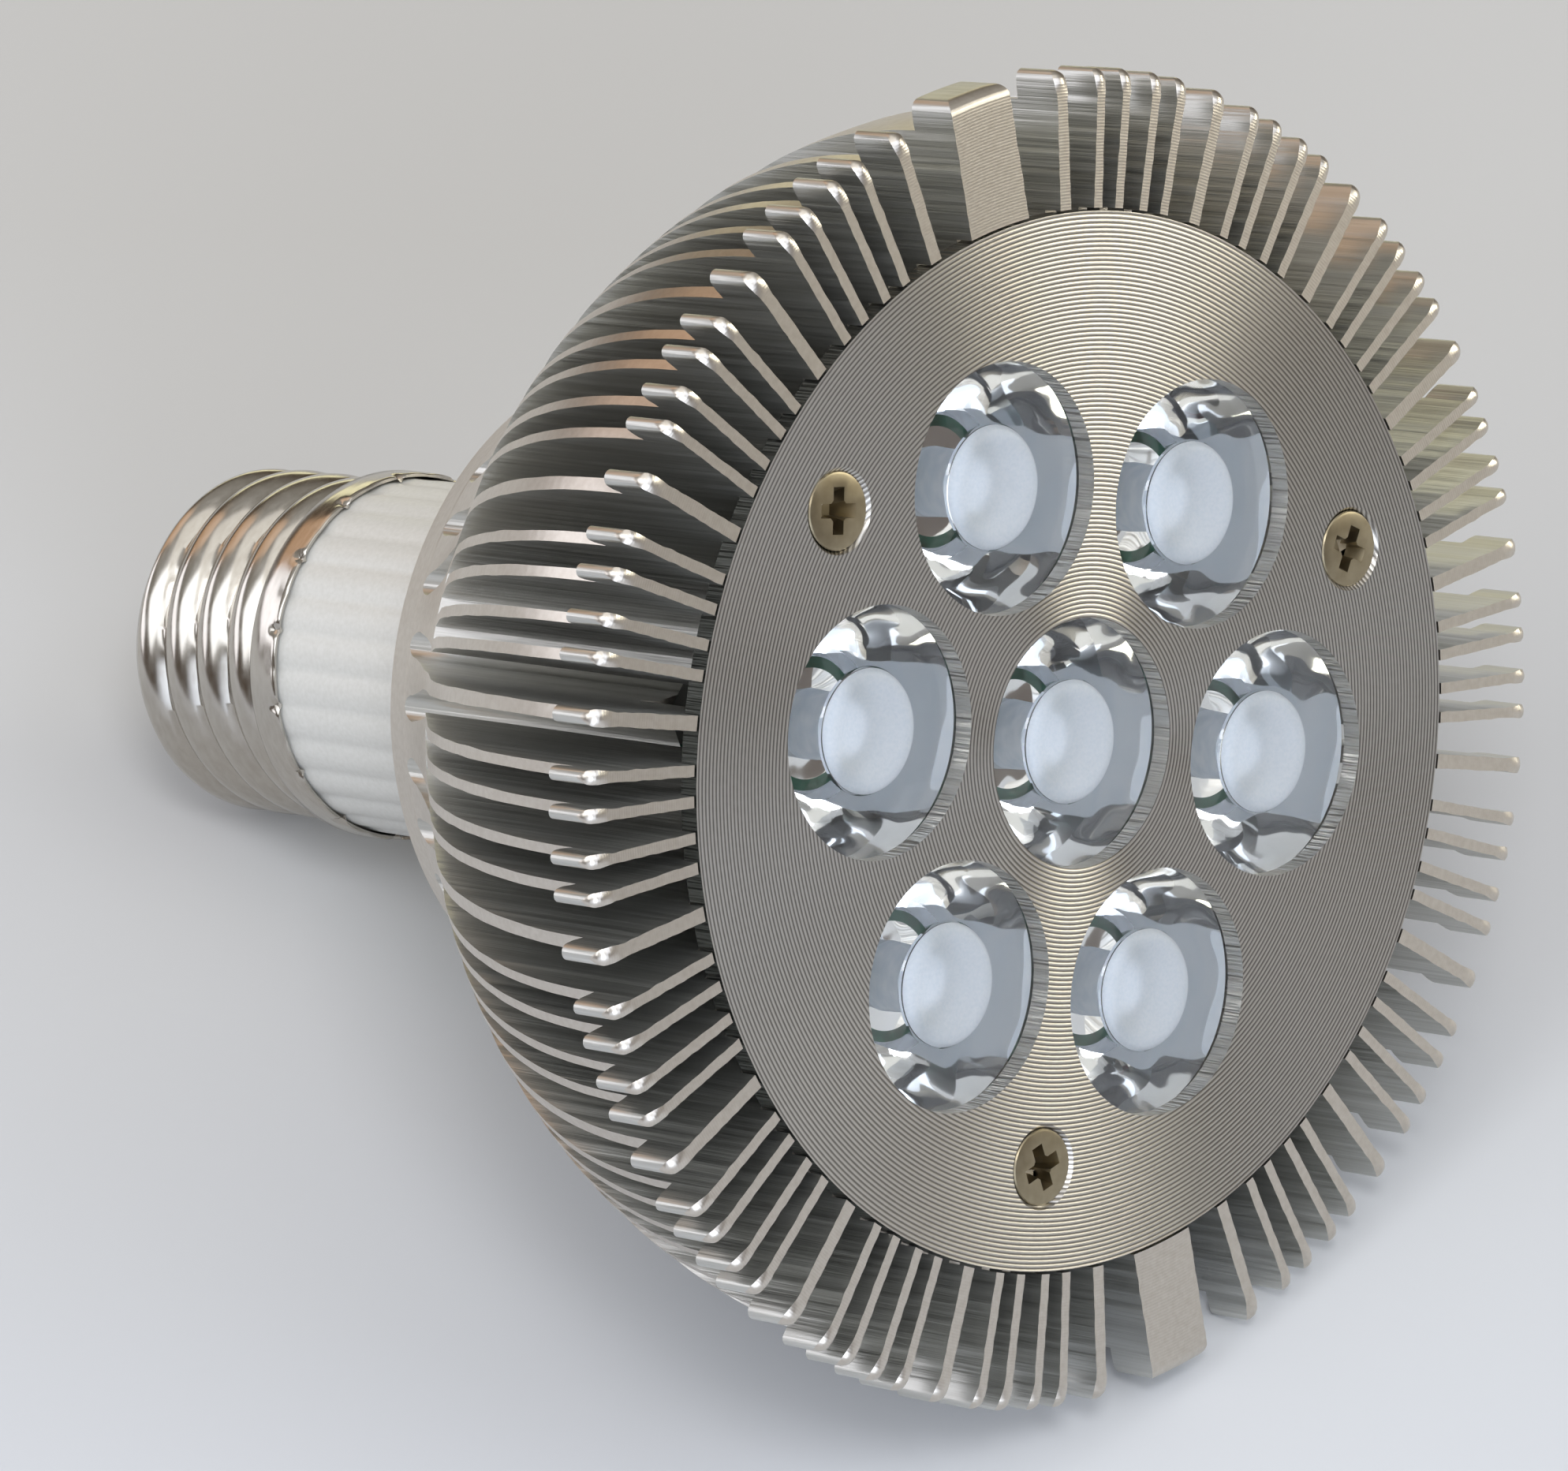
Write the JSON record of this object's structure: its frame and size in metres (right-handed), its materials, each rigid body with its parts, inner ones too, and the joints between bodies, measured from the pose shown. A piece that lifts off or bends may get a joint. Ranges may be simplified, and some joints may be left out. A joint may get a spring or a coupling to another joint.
{
  "type": "par spotlight bulb",
  "caption": "LED reflector bulb: a deep finned aluminium heat sink with collimator lenses behind a turned front plate, a white fluted neck and a screw cap.",
  "frame": {"origin": "tip of the centre contact, on the bulb's axis", "axes": "+Z runs along the bulb's axis from the cap to the lit face; +X passes through the middle of one lens of the outer ring"},
  "size_m": [0.095, 0.095, 0.097],
  "materials": {
    "sink_aluminium": "extruded, turned outside",
    "plate_aluminium": "fine concentric turning",
    "screw_nickel": "nickel plated",
    "lens_acrylic": "clear with a frosted centre",
    "led_phosphor": "phosphor over a white ceramic base",
    "board_green": "green solder mask",
    "neck_plastic": "fluted white moulding",
    "cap_nickel": "nickel plated sheet",
    "insulator_black": "moulded",
    "winding_tape": "taped or dipped",
    "chip_black": "moulded",
    "lead_red": "insulated wire",
    "lead_black": "insulated wire"
  },
  "bodies": {
    "root": {"heat_sink": "sink_aluminium", "front_plate": "plate_aluminium", "plate_screws": "screw_nickel", "lens_1": "lens_acrylic", "lens_2": "lens_acrylic", "lens_3": "lens_acrylic", "lens_4": "lens_acrylic", "lens_5": "lens_acrylic", "lens_6": "lens_acrylic", "lens_7": "lens_acrylic", "led_1": "led_phosphor", "led_2": "led_phosphor", "led_3": "led_phosphor", "led_4": "led_phosphor", "led_5": "led_phosphor", "led_6": "led_phosphor", "led_7": "led_phosphor", "led_board": "board_green", "neck_housing": "neck_plastic", "housing_screws": "screw_nickel", "cap_shell": "cap_nickel", "cap_insulator": "insulator_black", "cap_contact": "cap_nickel", "driver_board": "board_green", "transformer": "winding_tape", "film_capacitor": "winding_tape", "rectifier": "chip_black", "driver_chip": "chip_black", "filter_capacitor": "chip_black", "fuse": "winding_tape", "led_lead_plus": "lead_red", "led_lead_minus": "lead_black", "live_lead": "lead_red", "neutral_lead": "lead_black"}
  },
  "joints": []
}
